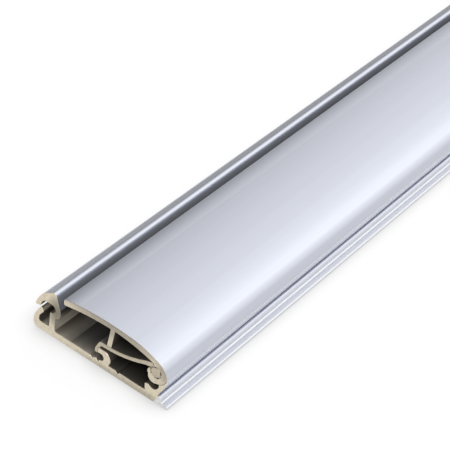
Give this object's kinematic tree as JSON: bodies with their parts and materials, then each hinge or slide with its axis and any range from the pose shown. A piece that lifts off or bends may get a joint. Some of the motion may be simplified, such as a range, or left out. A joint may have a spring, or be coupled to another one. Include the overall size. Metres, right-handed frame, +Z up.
{
  "type": "aluminium hanging rail",
  "caption": "Length of extruded aluminium hanging rail with an open side slot, a screwed flat back, an arched clip-on cover and a clip strip between them.",
  "frame": {"origin": "middle of the flat underside, which is the face that is screwed to a wall", "axes": "+X across the width from the hanging slot to the stepped foot, +Y along the length, +Z up from the flat underside to the arched cover"},
  "size_m": [0.0518, 1, 0.0187],
  "materials": {
    "anodised_aluminium": "satin anodised, with raw saw-cut ends"
  },
  "bodies": {
    "root": {"base_profile": "anodised_aluminium", "cover_profile": "anodised_aluminium", "clip_strip": "anodised_aluminium"}
  },
  "joints": []
}
